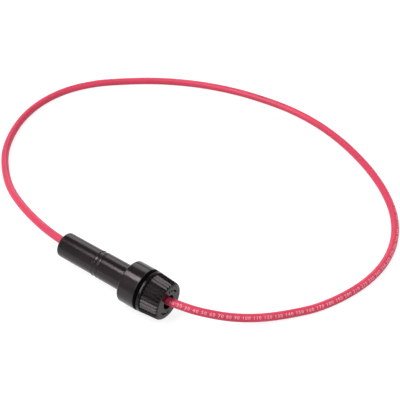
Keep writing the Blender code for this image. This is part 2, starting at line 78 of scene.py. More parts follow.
# The route of the wire's middle line: along, across, and the height of its underside, in millimetres
WIRE_ROUTE = [
    (22.6, 0.4, 6.1), (26.5, 1.05, 6.15), (31.0, 2.3, 5.8), (36.6, 5.2, 4.7), (41.2, 8.6, 3.3),
    (46.0, 13.0, 1.95), (50.8, 18.2, 0.95), (55.8, 24.4, 0.3), (60.9, 31.5, 0.0), (65.7, 41.5, 0.0),
    (68.8, 52.9, 0.0), (69.2, 64.1, 0.0), (66.6, 75.3, 0.0), (61.1, 85.5, 0.0), (53.3, 94.2, 0.0),
    (43.7, 101.7, 0.0), (32.9, 107.9, 0.0), (21.2, 112.9, 0.0), (8.9, 116.2, 0.0), (-3.6, 117.5, 0.0),
    (-16.1, 116.8, 0.0), (-28.4, 114.8, 0.0), (-40.3, 111.3, 0.0), (-51.6, 106.4, 0.0),
    (-62.3, 100.1, 0.0), (-72.1, 92.5, 0.0), (-81.0, 84.0, 0.0), (-87.4, 74.0, 0.0), (-90.5, 62.8, 0.0),
    (-90.2, 51.2, 0.0), (-86.8, 39.9, 0.0), (-80.7, 29.2, 0.15), (-72.1, 20.3, 0.8), (-62.1, 12.9, 2.1),
    (-51.6, 7.7, 3.7), (-41.3, 3.9, 5.2), (-32.3, 1.6, 6.05), (-25.5, 0.7, 6.25),
]


def length_prop(name, millimetres, description):
    """A length that a user may change, given in millimetres."""
    return FloatProperty(
        name=name,
        description=description,
        default=millimetres * MM,
        min=0.0,
        precision=5,
        unit="LENGTH",
        subtype="DISTANCE",
    )


def angle_prop(name, degrees, description):
    """An angle that a user may change, given in degrees."""
    return FloatProperty(
        name=name,
        description=description,
        default=math.radians(degrees),
        unit="ROTATION",
        subtype="ANGLE",
    )


def level_prop(name, level, description):
    """A brightness that a user may change."""
    return FloatProperty(name=name, description=description, default=level, min=0.0)


def colour_prop(name, colour, description):
    """A colour that a user may change."""
    return FloatVectorProperty(
        name=name, description=description, default=colour, size=3, min=0.0, max=1.0, subtype="COLOR"
    )


class FuseHolderStage(bpy.types.PropertyGroup):
    """Camera, floor and studio light."""

    camera_place: FloatVectorProperty(
        name="Camera place",
        description="Where the camera stands",
        default=(0.14994, -0.15836, 0.2424),
        size=3,
        precision=4,
        unit="LENGTH",
        subtype="TRANSLATION",
    )
    camera_turn: FloatVectorProperty(
        name="Camera turn",
        description="How the camera is turned",
        default=(math.radians(47), 0.0, math.radians(35.91)),
        size=3,
        unit="ROTATION",
        subtype="EULER",
    )
    camera_lens: FloatProperty(
        name="Lens", description="Focal length in millimetres", default=85.12, min=1.0, unit="CAMERA"
    )
    floor_width: length_prop("Floor width", 6000, "Side of the square floor")
    horizon_light: level_prop("Horizon light", 0.7, "Strength of the room's light near the floor")
    ceiling_light: level_prop("Ceiling light", 0.06, "Strength of the room's light from straight above")
    rear_panel_light: level_prop("Rear panel light", 2.1, "Brightness of the panel behind the object")
    top_panel_light: level_prop("Top panel light", 13.6, "Brightness of the panel above the body")
    cap_panel_light: level_prop("Cap panel light", 12.5, "Brightness of the panel above the cap")
    tail_panel_light: level_prop("Tail panel light", 0.6, "Brightness of the narrow panel above the tail")
    fill_panel_light: level_prop("Fill panel light", 1.5, "Brightness of the broad panel on the cap's side")
    floor_lift: level_prop("Floor lift", 0.77, "What the floor's own white adds to its lit colour")


class FuseHolderBody(bpy.types.PropertyGroup):
    """Sizes of the barrel and the tail sleeve."""

    bore: length_prop("Bore", 5.7, "Across the bore that takes the fuse")
    spigot: length_prop("Spigot", 7.0, "Across the spigot that the tail sleeve is pressed on")
    tube_front: length_prop("Tube front", 9.48, "Across the front tube where it meets the collar")
    tube_rear: length_prop("Tube rear", 9.43, "Across the front tube at its rear edge")
    tube_length: length_prop("Tube length", 11.0, "Front tube from its rear edge to the collar")
    tube_edge: length_prop("Tube edge", 0.4, "Rounding of the front tube's rear edge")
    collar_rounding: length_prop("Collar rounding", 0.5, "Rounding of the collar's rear edge")
    socket: length_prop("Socket", 13.0, "Across the collar's socket, at the root of its thread")
    socket_depth: length_prop("Socket depth", 5.5, "From the collar's front to the socket's floor")
    tail_front: length_prop("Tail front", 9.05, "Across the tail sleeve at its front rim")
    tail_rear: length_prop("Tail rear", 9.1, "Across the tail sleeve at its rear end")
    tail_rounding: length_prop("Tail rounding", 1.0, "Rounding of the tail's end")
    tail_hole: length_prop("Tail hole", 4.2, "Across the hole that the wire goes in by")
    tail_pocket: length_prop("Tail pocket", 5.0, "Across the pocket behind the rear contact")
    contact_seat: length_prop("Contact seat", 6.6, "Across the seat of the rear contact")
    bead_height: length_prop("Bead height", 0.17, "How far the two raised beads stand out")
    bead_width: length_prop("Bead width", 0.5, "Width of each raised bead")
    bead_setback: length_prop("Bead setback", 0.6, "From the tail sleeve's rim to the first bead")
    bead_spacing: length_prop("Bead spacing", 1.8, "From one bead to the other")


class FuseHolderCap(bpy.types.PropertyGroup):
    """Sizes of the screw cap and the sealing ring."""

    flange_width: length_prop("Flange width", 1.15, "Width of the smooth flange")
    flange_rounding: length_prop("Flange rounding", 0.22, "Rounding of the flange's edges")
    neck_width: length_prop("Neck width", 0.3, "Width of the line between flange and grip")
    neck_depth: length_prop("Neck depth", 0.85, "Depth of the line between flange and grip")
    grip_rear: length_prop("Grip rear", 14.5, "Across the grip next to the flange")
    grip_front: length_prop("Grip front", 13.35, "Across the grip at its front edge")
    grip_rounding: length_prop("Grip rounding", 0.9, "Rounding of the grip's front edge")
    ridges: IntProperty(name="Ridges", description="Number of ridges round the grip", default=36, min=3)
    groove_depth: length_prop("Groove depth", 0.52, "Depth of the grooves between the ridges")
    crest_rounding: length_prop("Crest rounding", 0.05, "Rounding along the top of each ridge")
    root_rounding: length_prop("Root rounding", 0.04, "Rounding along the bottom of each groove")
    shank: length_prop("Shank", 11.4, "Across the shank, at the root of its thread")
    thread_crest: length_prop("Thread crest", 12.04, "Across the crest of the shank's thread")
    socket_crest: length_prop("Socket crest", 12.2, "Across the crest of the socket's thread")
    thread_pitch: length_prop("Thread pitch", 1.5, "Advance of the thread in one turn")
    cavity: length_prop("Cavity", 6.7, "Across the cavity that holds the spring")
    wire_hole: length_prop("Wire hole", 4.4, "Across the hole that the wire goes out by")
    recess: length_prop("Recess", 5.1, "Across the recess in the cap's face")
    recess_depth: length_prop("Recess depth", 2.0, "Depth of the recess in the cap's face")
    face_wall: length_prop("Face wall", 3.0, "From the cap's face to the cavity's end")
    mark_radius: length_prop("Mark radius", 4.3, "Radius of the two sunk arcs on the face")
    mark_width: length_prop("Mark width", 0.6, "Width of the sunk marks on the face")
    mark_depth: length_prop("Mark depth", 0.5, "Depth of the sunk marks on the face")
    mark_sweep: angle_prop("Mark sweep", 52, "Angle that each sunk arc covers")
    ring_bore: length_prop("Ring bore", 12.1, "Across the inside of the sealing ring")
    ring_rounding: length_prop("Ring rounding", 0.22, "Rounding of the sealing ring's edges")


class FuseHolderInside(bpy.types.PropertyGroup):
    """Sizes of the contacts, the fuse, the spring and the conductors."""

    cup: length_prop("Cup", 6.1, "Across the outside of a contact's cup")
    cup_bore: length_prop("Cup bore", 5.5, "Across the inside of a contact's cup")
    cup_base: length_prop("Cup base", 0.75, "Thickness of the cup's base")
    cup_depth: length_prop("Cup depth", 2.75, "Depth of the front contact's cup")
    rear_cup_depth: length_prop("Rear cup depth", 1.85, "Depth of the rear contact's cup")
    slot_width: length_prop("Slot width", 0.5, "Width of the slots in the cups")
    crimp: length_prop("Crimp", 2.8, "Across the crimp barrel")
    crimp_bore: length_prop("Crimp bore", 1.5, "Across the inside of the crimp barrel")
    crimp_flat: length_prop("Crimp flat", 0.22, "Depth of the flats pressed into the crimp barrel")
    fuse_cap: length_prop("Fuse cap", 5.2, "Across the fuse's end caps")
    fuse_cap_wall: length_prop("Fuse cap wall", 0.2, "Wall of the fuse's end caps")
    fuse_cap_end: length_prop("Fuse cap end", 0.35, "End thickness of the fuse's end caps")
    glass: length_prop("Glass", 4.5, "Across the fuse's glass tube")
    glass_wall: length_prop("Glass wall", 0.6, "Wall of the fuse's glass tube")
    element: length_prop("Element", 0.3, "Across the fuse's element")
    solder: length_prop("Solder", 1.6, "Across each drop of solder")
    spring_wire: length_prop("Spring wire", 0.5, "Across the spring's wire")
    spring_turns: FloatProperty(
        name="Spring turns", description="Turns of the contact spring", default=5.5, min=1.0
    )
    washer_bore: length_prop("Washer bore", 4.0, "Across the washer's hole")
    strand: length_prop("Strand", 0.4, "Across one copper strand")


class FuseHolderWire(bpy.types.PropertyGroup):
    """Sizes of the insulated wire and its print."""

    diameter: length_prop("Wire diameter", 2.85, "Across the wire's jacket")
    ring_spacing: length_prop("Ring spacing", 0.8, "Length of wire between two rings of the mesh")
    sides: IntProperty(name="Wire sides", description="Points in each ring of the mesh", default=24, min=8)
    print_text: StringProperty(
        name="Print",
        description="Plain numbers of a length scale",
        default=" ".join(str(number) for number in range(10, 500, 10)),
    )
    print_size: length_prop("Print size", 1.62, "Size of the letters of the print")
    print_start: length_prop("Print start", 6.5, "From the wire's front end to the print")
    print_length: length_prop("Print length", 181.0, "Length of the printed stretch")
    print_angle: angle_prop("Print angle", 42, "From the top of the wire out to the print")
    print_lift: length_prop("Print lift", 0.012, "How far the ink stands on the jacket")
    print_depth: length_prop("Print depth", 0.03, "Thickness of the ink, most of it sunk in the jacket")


class FuseHolderColours(bpy.types.PropertyGroup):
    """Colours of the finishes."""

    moulding: colour_prop("Moulding", (0.015, 0.0113, 0.0122), "Black of the barrel and tail sleeve")
    # The cap's black is darker than the barrel's: its own black plus painted shade, standing in for the shade
    # between the grip's ridges and in the face's recess
    cap: colour_prop("Cap", (0.0055, 0.0042, 0.0045), "Black of the screw cap")
    rubber: colour_prop("Rubber", (0.0015, 0.0015, 0.0015), "Black of the sealing ring")
    jacket: colour_prop("Jacket", (0.76, 0.045, 0.11), "Red of the wire's jacket")
    ink: colour_prop("Ink", (0.92, 0.44, 0.49), "Pale print on the wire")
    brass: colour_prop("Brass", (0.78, 0.57, 0.25), "Contacts")
    steel: colour_prop("Spring steel", (0.55, 0.56, 0.58), "Spring, washer and fuse element")
    nickel: colour_prop("Nickel plate", (0.70, 0.68, 0.63), "The fuse's end caps")
    solder: colour_prop("Solder", (0.60, 0.60, 0.62), "Drops of solder on the fuse's caps")
    copper: colour_prop("Copper", (0.85, 0.45, 0.30), "Strands of the conductor")
    glass: colour_prop("Glass", (0.93, 0.97, 0.96), "The fuse's glass tube")
    floor: colour_prop("Floor", (0.45, 0.45, 0.45), "The floor as the light falls on it")


class FuseHolder(bpy.types.PropertyGroup):
    """All the sizes and colours of the fuse holder."""

    stage: PointerProperty(name="Stage", description="Camera, floor and studio light", type=FuseHolderStage)
    body: PointerProperty(name="Body", description="Barrel and tail sleeve", type=FuseHolderBody)
    cap: PointerProperty(name="Cap", description="Screw cap and sealing ring", type=FuseHolderCap)
    inside: PointerProperty(
        name="Inside", description="Contacts, fuse, spring and conductors", type=FuseHolderInside
    )
    wire: PointerProperty(name="Wire", description="Insulated wire and its print", type=FuseHolderWire)
    colours: PointerProperty(name="Colours", description="Colours of the finishes", type=FuseHolderColours)


class Signal:
    """An output socket in a finish. An expression on signals adds its Math nodes."""

    def __init__(self, finish, socket):
        self.finish = finish
        self.socket = socket

    def maths(self, operation, *values):
        """Adds one Math node and returns its result."""
        return self.finish.node("ShaderNodeMath", {"operation": operation}, dict(enumerate(values)))

    def __add__(self, other):
        return self.maths("ADD", self, other)

    def __radd__(self, other):
        return self.maths("ADD", other, self)

    def __sub__(self, other):
        return self.maths("SUBTRACT", self, other)

    def __mul__(self, other):
        return self.maths("MULTIPLY", self, other)

    def __rmul__(self, other):
        return self.maths("MULTIPLY", other, self)

    def root(self):
        """The square root."""
        return self.maths("SQRT", self)

    def step(self, low, high):
        """0 below low and 1 above high, and smooth between them."""
        return self.finish.node(
            "ShaderNodeMapRange",
            {"interpolation_type": "SMOOTHSTEP"},
            {"Value": self, "From Min": low, "From Max": high},
        )


class Finish:
    """A procedural material, or the room's light, that is built up by nodes."""

    def __init__(self, name, owner=None):
        self.material = owner or bpy.data.materials.new(name)
        self.material.use_nodes = True
        self.tree = self.material.node_tree
        self.tree.nodes.clear()

    def node(self, kind, settings=None, values=None, output=0):
        """Adds one node, with its settings first and then its sockets' values or links."""
        made = self.tree.nodes.new(kind)
        for name, setting in (settings or {}).items():
            setattr(made, name, setting)
        for name, value in (values or {}).items():
            if isinstance(value, Signal):
                self.tree.links.new(value.socket, made.inputs[name])
            else:
                made.inputs[name].default_value = value
        return Signal(self, made.outputs[output]) if made.outputs else None

    def place(self):
        """The place on the object, in metres."""
        return self.node("ShaderNodeTexCoord", output="Object")

    def skin(self):
        """The place on the wire's skin: round it in the first two numbers and along it in the third."""
        return self.node("ShaderNodeAttribute", {"attribute_name": "skin"}, output="Vector")

    def stretched(self, place, scale, location=(0.0, 0.0, 0.0)):
        """A place, stretched."""
        return self.node("ShaderNodeMapping", {}, {"Vector": place, "Scale": scale, "Location": location})

    def noise(self, place, scale, detail=2.0, roughness=0.5):
        """Soft noise, as a value from 0 to 1."""
        return self.node(
            "ShaderNodeTexNoise",
            {},
            {"Vector": place, "Scale": scale, "Detail": detail, "Roughness": roughness},
            "Fac",
        )

    def mixed(self, share, first, second):
        """One colour that goes over into another."""
        return self.node("ShaderNodeMix", {"data_type": "RGBA"}, {0: share, 6: first, 7: second}, 2)

    def parts(self, place):
        """The three numbers of a place."""
        split = self.node("ShaderNodeSeparateXYZ", {}, {"Vector": place})
        sockets = split.socket.node.outputs
        return [Signal(self, socket) for socket in sockets]

    def radius(self):
        """How far the surface is from the holder's axis, in metres."""
        along, across, height = self.parts(self.place())
        lifted = height - AXIS_HEIGHT
        return (across * across + lifted * lifted).root()

    def bump(self, height, distance, strength=1.0):
        """A normal that follows a height."""
        values = {"Height": height, "Distance": distance, "Strength": strength}
        return self.node("ShaderNodeBump", {}, values, "Normal")

    def surface(self, tone, rough, normal=None, others=None):
        """Ends the material in one Principled shader."""
        values = {"Base Color": tone, "Roughness": rough, **(others or {})}
        if normal is not None:
            values["Normal"] = normal
        shader = self.node("ShaderNodeBsdfPrincipled", {}, values)
        self.node("ShaderNodeOutputMaterial", {}, {"Surface": shader})
        return self.material


def opaque(colour, scale=1.0):
    """A colour for a socket, made lighter or darker."""
    return (*(min(1.0, channel * scale) for channel in colour), 1.0)


def moulded_finish(name, colour, shine, worn_radius=None):
    """Gloss black moulding: flow marks, fine orange peel, handling haze and, on the grip, paler crests."""
    finish = Finish(name)
    place = finish.place()
    flow = finish.noise(finish.stretched(place, (1.0, 2.5, 2.5)), 140, 3.0, 0.55)
    haze = finish.noise(place, 420, 4.0, 0.6).step(0.45, 0.75)
    peel = finish.noise(place, 2600, 2.0)
    grain = finish.noise(place, 9000, 1.0)
    tone = finish.mixed(flow.step(0.3, 0.75), opaque(colour, 0.9), opaque(colour, 1.15))
    rough = 0.15 + 0.04 * haze + 0.03 * flow
    if worn_radius is not None:
        worn = finish.radius().step(worn_radius - 0.00022, worn_radius)
        patchy = worn * finish.noise(place, 700, 3.0).step(0.35, 0.7)
        tone = finish.mixed(0.5 * patchy, tone, opaque(colour, 2.0))
        rough = rough + 0.04 * patchy
    normal = finish.bump(peel + 0.35 * grain, 0.000006)
    gloss = {"IOR": 1.5, "Specular IOR Level": shine, "Specular Tint": (1.0, 0.86, 0.90, 1.0)}
    return finish.surface(tone, rough, normal, gloss)


def rubber_finish(name, colour):
    """Matt black rubber with a trace of pale bloom."""
    finish = Finish(name)
    place = finish.place()
    bloom = finish.noise(place, 900, 4.0, 0.65).step(0.5, 0.85)
    tone = finish.mixed(0.5 * bloom, opaque(colour), opaque(colour, 5.0))
    rough = 0.62 + 0.2 * bloom
    normal = finish.bump(finish.noise(place, 5200, 3.0, 0.6), 0.00002)
    return finish.surface(tone, rough, normal, {"Specular IOR Level": 0.02})


def jacket_finish(name, colour):
    """Satin extruded jacket: fine lines along it, uneven colour and small scuffs."""
    finish = Finish(name)
    skin = finish.skin()
    drawn = finish.noise(finish.stretched(skin, (6.0, 6.0, 18.0)), 1.6, 3.0, 0.6)
    cloud = finish.noise(finish.stretched(skin, (0.5, 0.5, 60.0)), 1.0, 3.0, 0.5)
    scuff = finish.noise(finish.stretched(skin, (2.5, 2.5, 420.0)), 1.3, 4.0, 0.65).step(0.62, 0.78)
    lean = finish.mixed(cloud.step(0.3, 0.7), opaque(colour, 0.93), opaque(colour, 1.07))
    tone = finish.mixed(0.25 * scuff, lean, (0.80, 0.20, 0.28, 1.0))
    rough = 0.38 + 0.1 * drawn + 0.12 * scuff
    normal = finish.bump(drawn, 0.00002, 0.6)
    return finish.surface(tone, rough, normal, {"IOR": 1.5})


def ink_finish(name, colour, jacket):
    """Pale printed ink, thin in places, so that the red shows through."""
    finish = Finish(name)
    thin = finish.noise(finish.place(), 5200, 3.0, 0.6).step(0.55, 0.8)
    tone = finish.mixed(0.45 * thin, opaque(colour), opaque(jacket))
    return finish.surface(tone, 0.5)


def turned_metal_finish(name, colour, rough_low, rough_high, tarnish):
    """Metal with fine marks round its axis and a patchy tarnish."""
    finish = Finish(name)
    place = finish.place()
    rings = finish.noise(finish.stretched(place, (9.0, 0.4, 0.4)), 1500, 2.0, 0.6)
    patch = finish.noise(place, 520, 4.0, 0.6).step(0.42, 0.75)
    tone = finish.mixed(tarnish * patch, opaque(colour), opaque(colour, 0.45))
    rough = rough_low + (rough_high - rough_low) * (0.5 * rings + 0.5 * patch)
    normal = finish.bump(rings, 0.000006)
    return finish.surface(tone, rough, normal, {"Metallic": 1.0})


def drawn_metal_finish(name, colour, rough):
    """Drawn metal wire with short dull streaks."""
    finish = Finish(name)
    place = finish.place()
    streak = finish.noise(place, 2400, 3.0, 0.6)
    dull = finish.noise(place, 600, 3.0, 0.6).step(0.45, 0.8)
    tone = finish.mixed(0.5 * dull, opaque(colour), opaque(colour, 0.6))
    normal = finish.bump(streak, 0.000005)
    return finish.surface(tone, rough + 0.12 * streak, normal, {"Metallic": 1.0})


def solder_finish(name, colour):
    """Dull cast solder with a frosted, lightly rippled skin."""
    finish = Finish(name)
    place = finish.place()
    frost = finish.noise(place, 3200, 4.0, 0.7)
    tone = finish.mixed(frost.step(0.4, 0.7), opaque(colour, 0.75), opaque(colour, 1.1))
    normal = finish.bump(finish.noise(place, 1500, 3.0, 0.6), 0.00004)
    return finish.surface(tone, 0.32 + 0.25 * frost, normal, {"Metallic": 0.9})


def glass_finish(name, colour):
    """Clear glass with slight drawn ripples along the tube."""
    finish = Finish(name)
    ripple = finish.noise(finish.stretched(finish.place(), (0.25, 1.0, 1.0)), 700, 2.0)
    smear = finish.noise(finish.place(), 900, 3.0, 0.6).step(0.5, 0.8)
    normal = finish.bump(ripple, 0.00001)
    clear = {"Transmission Weight": 1.0, "IOR": 1.5}
    return finish.surface(opaque(colour), 0.02 + 0.05 * smear, normal, clear)


def floor_finish(name, colour, lift):
    """White floor that takes the object's shadow and adds its own white wherever it is seen."""
    finish = Finish(name)
    seen = finish.node("ShaderNodeLightPath", output="Is Camera Ray")
    mirrored = Signal(finish, seen.socket.node.outputs["Is Glossy Ray"])
    passed = Signal(finish, seen.socket.node.outputs["Is Transmission Ray"])
    white = {"Color": WHITE, "Strength": lift * (seen + mirrored + passed)}
    glow = finish.node("ShaderNodeEmission", {}, white)
    lit = finish.node("ShaderNodeBsdfDiffuse", {}, {"Color": opaque(colour)})
    both = finish.node("ShaderNodeAddShader", {}, {0: lit, 1: glow})
    finish.node("ShaderNodeOutputMaterial", {}, {"Surface": both})
    return finish.material


def settings():
    """The fuse holder's sizes and colours."""
    return bpy.context.scene.fuse_holder


def in_mm(metres):
    """A length in millimetres."""
    return metres / MM


def rear_of(node):
    """A solid's lowest place along the axis, in millimetres."""
    return in_mm(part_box(node)[0].x)


def front_of(node):
    """A solid's highest place along the axis, in millimetres."""
    return in_mm(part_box(node)[1].x)


def ends_of(node, side):
    """A solid's ends along the axis, in millimetres, the one next to the fuse's middle first."""
    ends = rear_of(node), front_of(node)
    return ends if side == "front" else ends[::-1]


def radius_of(node):
    """Half a solid's height, in millimetres."""
    low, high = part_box(node)
    return in_mm(high.z - low.z) / 2


def new_points(parts):
    """The points among what an operation made."""
    return [part for part in parts if isinstance(part, bmesh.types.BMVert)]


def closed_line(corners):
    """A new shape that is a closed line through (along, radius) corners, and its points."""
    shape = bmesh.new()
    points = [shape.verts.new((along, 0.0, radius)) for along, radius in corners]
    for first, second in zip(points, points[1:] + points[:1]):
        shape.edges.new((first, second))
    return shape, points


def round_off(shape, points, rounding, steps):
    """Rounds a line at some of its points."""
    bmesh.ops.bevel(
        shape, geom=points, offset=rounding, segments=steps, profile=0.5, affect="VERTICES", material=-1
    )


def spin(shape, angle, steps, advance=0.0, merge=False, copies=False):
    """Sweeps a shape about the X axis, or lays copies of it round the axis."""
    bmesh.ops.spin(
        shape,
        geom=shape.verts[:] + shape.edges[:],
        cent=(0.0, 0.0, 0.0),
        axis=(1.0, 0.0, 0.0),
        dvec=(advance, 0.0, 0.0),
        angle=angle,
        steps=steps,
        use_merge=merge,
        use_duplicate=copies,
    )


def close(shape):
    """Fills the open ends of a shape and turns its faces outwards."""
    bmesh.ops.holes_fill(shape, edges=[edge for edge in shape.edges if edge.is_boundary], sides=0)
    bmesh.ops.recalc_face_normals(shape, faces=shape.faces)


def thicken(shape):
    """Doubles a sheet into a closed body, and returns the points of its second side."""
    grown = bmesh.ops.extrude_face_region(shape, geom=shape.faces[:], use_keep_orig=True)
    return new_points(grown["geom"])


def turn_about_axis(shape, angle):
    """Turns a shape about the X axis."""
    bmesh.ops.rotate(shape, verts=shape.verts, cent=(0.0, 0.0, 0.0), matrix=Matrix.Rotation(angle, 3, "X"))


def link(name, content):
    """Links a new object that holds a mesh, a light, a lens or letters."""
    item = bpy.data.objects.new(name, content)
    bpy.context.scene.collection.objects.link(item)
    return item


def mesh_of(name, shape):
    """Turns a shape into a mesh."""
    mesh = bpy.data.meshes.new(name)
    shape.to_mesh(mesh)
    shape.free()
    return mesh


def cut(shape, cutter):
    """A shape with a cutter's room taken out of it."""
    whole = link("whole", mesh_of("whole", shape))
    knife = link("knife", mesh_of("knife", cutter))
    boolean = whole.modifiers.new("Cut", "BOOLEAN")
    boolean.operation = "DIFFERENCE"
    boolean.solver = "EXACT"
    boolean.object = knife
    boolean.use_self = True
    evaluated = whole.evaluated_get(bpy.context.evaluated_depsgraph_get())
    left = bmesh.new()
    left.from_mesh(evaluated.to_mesh())
    evaluated.to_mesh_clear()
    for used in (whole, knife):
        mesh = used.data
        bpy.data.objects.remove(used)
        bpy.data.meshes.remove(mesh)
    bmesh.ops.dissolve_degenerate(left, edges=left.edges, dist=1e-4)
    return left


def add_piece(name, shape, finish, body=None, stands_for=(), sharp=35.0):
    """Turns a shape in millimetres into a piece in metres, with its finish and what it moves with."""
    bmesh.ops.scale(shape, verts=shape.verts, vec=(MM, MM, MM))
    mesh = mesh_of(name, shape)
    mesh.shade_smooth()
    mesh.set_sharp_from_angle(angle=math.radians(sharp))
    mesh.materials.append(finish)
    piece = link(name, mesh)
    if body is not None:
        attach(piece, body)
    if stands_for:
        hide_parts(*stands_for)
    return piece


def add_turned(name, shape, finish, body, node, sharp=35.0, even=True):
    """Lifts a turned shape to the holder's axis and makes it the piece that stands for a solid."""
    bmesh.ops.translate(shape, verts=shape.verts, vec=(0.0, 0.0, in_mm(AXIS_HEIGHT)))
    piece = add_piece(name, shape, finish, body, [node], sharp)
    if even:
        # Normals weighed by face size keep broad faces even
        piece.modifiers.new("Even normals", "WEIGHTED_NORMAL").keep_sharp = True


def turned(corners, sides=TURNED_SIDES, steps=ROUNDING_STEPS):
    """A shape turned from a closed outline of (along, radius, rounding) corners."""
    shape, points = closed_line([corner[:2] for corner in corners])
    for point, (_, _, rounding) in zip(points, corners):
        if rounding > 0:
            round_off(shape, [point], rounding, steps)
    spin(shape, math.tau, sides, merge=True)
    bmesh.ops.remove_doubles(shape, verts=shape.verts, dist=1e-4)
    on_axis = [edge for edge in shape.edges if not edge.link_faces]
    bmesh.ops.delete(shape, geom=on_axis, context="EDGES")
    bmesh.ops.recalc_face_normals(shape, faces=shape.faces)
    return shape


def join(shape, other):
    """Adds another shape to a shape."""
    mesh = mesh_of("joined", other)
    shape.from_mesh(mesh)
    bpy.data.meshes.remove(mesh)


def thread(start, end, root, crest, pitch, steps_per_turn=72):
    """A right-hand thread ridge from one place along the axis to another."""
    sunk = root - THREAD_ROOTING if crest > root else root + THREAD_ROOTING
    foot = 0.40 * pitch
    land = 0.10 * pitch
    shape, _ = closed_line(
        [
            (start - foot, sunk),
            (start - foot, root),
            (start - land, crest),
            (start + land, crest),
            (start + foot, root),
            (start + foot, sunk),
        ]
    )
    turns = (end - start) / pitch
    steps = round(turns * steps_per_turn)
    spin(shape, turns * math.tau, steps, (end - start) / steps)
    close(shape)
    return shape


def between(first, second, start, end, t):
    """The point that a time lies at between two points with their own times."""
    return first * ((end - t) / (end - start)) + second * ((t - start) / (end - start))


def smooth_path(points, pieces_between=24):
    """A fine row of points on a smooth curve through the given ones (centripetal Catmull-Rom)."""
    given = [Vector(point) for point in points]
    row = [2 * given[0] - given[1], *given, 2 * given[-1] - given[-2]]
    fine = []
    for p0, p1, p2, p3 in zip(row, row[1:], row[2:], row[3:]):
        t0 = 0.0
        t1 = t0 + math.sqrt((p1 - p0).length)
        t2 = t1 + math.sqrt((p2 - p1).length)
        t3 = t2 + math.sqrt((p3 - p2).length)
        for piece in range(pieces_between):
            t = t1 + (t2 - t1) * piece / pieces_between
            a1 = between(p0, p1, t0, t1, t)
            a2 = between(p1, p2, t1, t2, t)
            a3 = between(p2, p3, t2, t3, t)
            b1 = between(a1, a2, t0, t2, t)
            b2 = between(a2, a3, t1, t3, t)
            fine.append(between(b1, b2, t1, t2, t))
    fine.append(given[-1])
    return fine


class Path:
    """A row of points with the length along it."""

    def __init__(self, points):
        self.points = points
        self.lengths = [0.0]
        for first, second in zip(points, points[1:]):
            self.lengths.append(self.lengths[-1] + (second - first).length)
        self.length = self.lengths[-1]

    def at(self, length):
        """The place and the direction at a length along the path."""
        after = min(bisect.bisect_right(self.lengths, length), len(self.points) - 1)
        first, second = self.points[after - 1], self.points[after]
        share = (length - self.lengths[after - 1]) / (self.lengths[after] - self.lengths[after - 1])
        return first.lerp(second, share), (second - first).normalized()

    def even(self, spacing):
        """Evenly spaced points from end to end."""
        count = max(2, math.ceil(self.length / spacing))
        return [self.at(self.length * step / count)[0] for step in range(count + 1)]


def drawn_tube(points, diameter, sides):
    """A round tube drawn along a row of points, with the place on its skin kept at each mesh point."""
    shape = bmesh.new()
    skin = shape.verts.layers.float_vector.new("skin")
    directions = [(second - first).normalized() for first, second in zip(points, points[1:])]
    tangents = [directions[0]]
    tangents += [(first + second).normalized() for first, second in zip(directions, directions[1:])]
    tangents.append(directions[-1])
    ring = bmesh.ops.create_circle(shape, cap_ends=False, radius=diameter / 2, segments=sides)["verts"]
    for vertex in ring:
        vertex[skin] = Vector((vertex.co.x, vertex.co.y, 0.0)).normalized()
    facing = Vector((0.0, 0.0, 1.0)).rotation_difference(tangents[0]).to_matrix()
    bmesh.ops.rotate(shape, verts=ring, cent=(0.0, 0.0, 0.0), matrix=facing)
    bmesh.ops.translate(shape, verts=ring, vec=points[0])
    edges = shape.edges[:]
    along = 0.0
    for step in range(1, len(points)):
        grown = bmesh.ops.extrude_edge_only(shape, edges=edges)["geom"]
        ring = new_points(grown)
        grown_edges = [part for part in grown if isinstance(part, bmesh.types.BMEdge)]
        edges = [edge for edge in grown_edges if all(vertex in ring for vertex in edge.verts)]
        turn = tangents[step - 1].rotation_difference(tangents[step]).to_matrix()
        bmesh.ops.rotate(shape, verts=ring, cent=points[step - 1], matrix=turn)
        bmesh.ops.translate(shape, verts=ring, vec=points[step] - points[step - 1])
        along += (points[step] - points[step - 1]).length * MM
        for vertex in ring:
            vertex[skin] = (vertex[skin].x, vertex[skin].y, along)
    close(shape)
    return shape


def wire_path():
    """The wire's middle line in millimetres, from one end of the jacket to the other."""
    radius = in_mm(settings().wire.diameter) / 2
    height = in_mm(AXIS_HEIGHT)
    front = front_of("front_contact") + SEAT_GAP
    rear = rear_of("rear_contact") - SEAT_GAP
    route = [(front, 0.0, height)]
    route += [(along, across, lift + radius) for along, across, lift in WIRE_ROUTE]
    route.append((rear, 0.0, height))
    fine = smooth_path(route)
    for point in fine:
        point.z = max(point.z, radius)
    return Path(fine)


def bar(size, centre, turn=0.0):
    """A straight bar for cutting, turned about the holder's axis once it stands in its place."""
    shape = bmesh.new()
    bmesh.ops.create_cube(shape, size=1.0)
    bmesh.ops.scale(shape, verts=shape.verts, vec=size)
    bmesh.ops.translate(shape, verts=shape.verts, vec=centre)
    turn_about_axis(shape, turn)
    return shape


def arc_bar(low, high, inner, outer, start, sweep):
    """A bar bent round the holder's axis, for cutting a sunk arc."""
    shape, _ = closed_line([(low, inner), (high, inner), (high, outer), (low, outer)])
    spin(shape, sweep, 24)
    turn_about_axis(shape, start)
    close(shape)
    return shape


